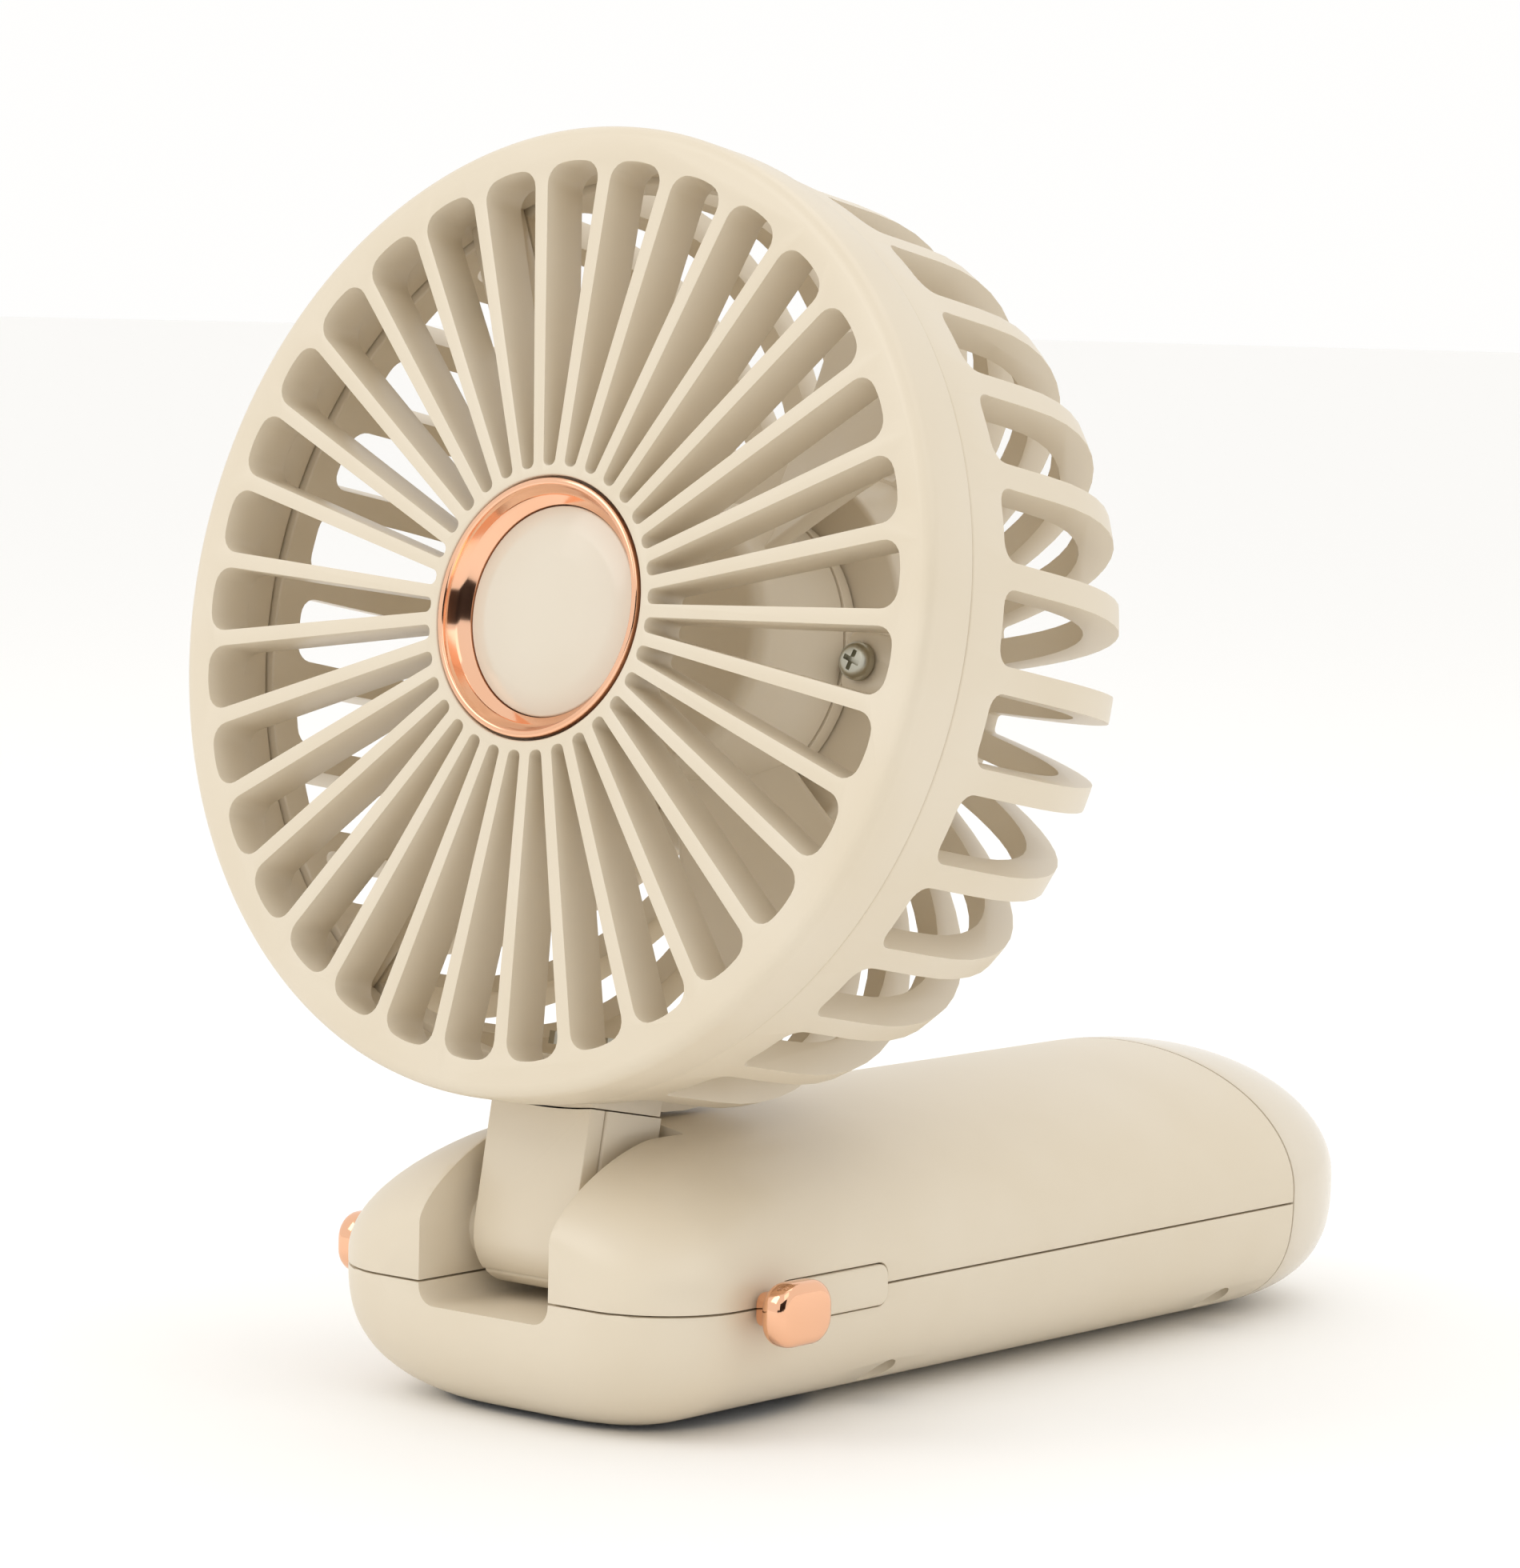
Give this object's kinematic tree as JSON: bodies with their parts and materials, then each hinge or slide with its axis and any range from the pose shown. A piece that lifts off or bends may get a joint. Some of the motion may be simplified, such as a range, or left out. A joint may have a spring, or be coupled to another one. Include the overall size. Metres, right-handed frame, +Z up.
{
  "type": "folding handheld fan",
  "caption": "Round caged fan head on a short folding neck, held in the notched end of a flat oval battery handle with side carry posts.",
  "frame": {"origin": "middle of the handle's flat underside, halfway along and across the handle", "axes": "+Z up from the underside, +Y along the handle towards the charging end, the head faces -Y, +X to the handle's left when looking along the head's face direction"},
  "size_m": [0.1098, 0.1485, 0.1449],
  "materials": {
    "cream_abs": "moulded cream ABS, satin",
    "gloss_cream_abs": "moulded cream ABS from a polished mould, glossy",
    "rose_gold_plating": "rose gold vacuum plating, polished",
    "smoked_acrylic": "near-black polished acrylic",
    "zinc_steel": "zinc plated steel",
    "nickel_shell": "nickel plated sheet",
    "lamination_steel": "dark electrical steel",
    "copper_wire": "enamelled copper wire",
    "black_plastic": "moulded black plastic",
    "green_board": "green solder mask on glass fibre board",
    "cell_sleeve": "blue shrink sleeve",
    "red_insulation": "red wire insulation",
    "black_insulation": "black wire insulation"
  },
  "bodies": {
    "handle": {"handle_top_shell": "cream_abs", "handle_bottom_shell": "cream_abs", "end_cap": "gloss_cream_abs", "display_lens": "smoked_acrylic", "main_board": "green_board", "tact_switch": "black_plastic", "display_module": "black_plastic", "control_chip": "black_plastic", "usb_socket": "nickel_shell", "charge_board": "green_board", "battery_cell_left": "cell_sleeve", "battery_cell_right": "cell_sleeve", "cell_strip": "nickel_shell", "battery_lead_red": "red_insulation", "battery_lead_black": "black_insulation", "hinge_pin": "zinc_steel", "friction_washer_left": "zinc_steel", "friction_washer_right": "zinc_steel", "side_insert_left": "cream_abs", "side_insert_right": "cream_abs", "carry_post_left": "rose_gold_plating", "carry_post_right": "rose_gold_plating", "shell_screw_1": "zinc_steel", "shell_screw_2": "zinc_steel", "shell_screw_3": "zinc_steel", "shell_screw_4": "zinc_steel"},
    "power_key": {"power_button": "rose_gold_plating"},
    "head": {"neck_front_cover": "cream_abs", "neck_body": "cream_abs", "neck_screw_left": "zinc_steel", "neck_screw_right": "zinc_steel", "front_grille": "cream_abs", "badge_ring": "rose_gold_plating", "badge_disc": "gloss_cream_abs", "rear_guard": "cream_abs", "guard_screw_1": "zinc_steel", "guard_screw_2": "zinc_steel", "guard_screw_3": "zinc_steel", "motor_base": "cream_abs", "base_screw_1": "zinc_steel", "base_screw_2": "zinc_steel", "base_screw_3": "zinc_steel", "stator_core": "lamination_steel", "stator_winding": "copper_wire", "bearing_front": "zinc_steel", "bearing_rear": "zinc_steel", "driver_board": "green_board"},
    "rotor": {"impeller": "cream_abs", "rotor_can": "lamination_steel", "magnet_ring": "black_plastic", "motor_shaft": "zinc_steel"}
  },
  "joints": [
    {"name": "head_fold", "type": "hinge", "parent": "handle", "child": "head", "pos_m": [0, -0.0604, 0.02], "axis": [1, 0, 0], "range_deg": [0, 100]},
    {"name": "rotor_spin", "type": "hinge", "parent": "head", "child": "rotor", "pos_m": [0, -0.06606, 0.09129], "axis": [0, -0.9826, 0.1857], "continuous": true},
    {"name": "power_press", "type": "slide", "parent": "handle", "child": "power_key", "axis": [0, 0, 1], "range_m": [0, 0.0005], "stiffness_N_per_m": 900}
  ]
}
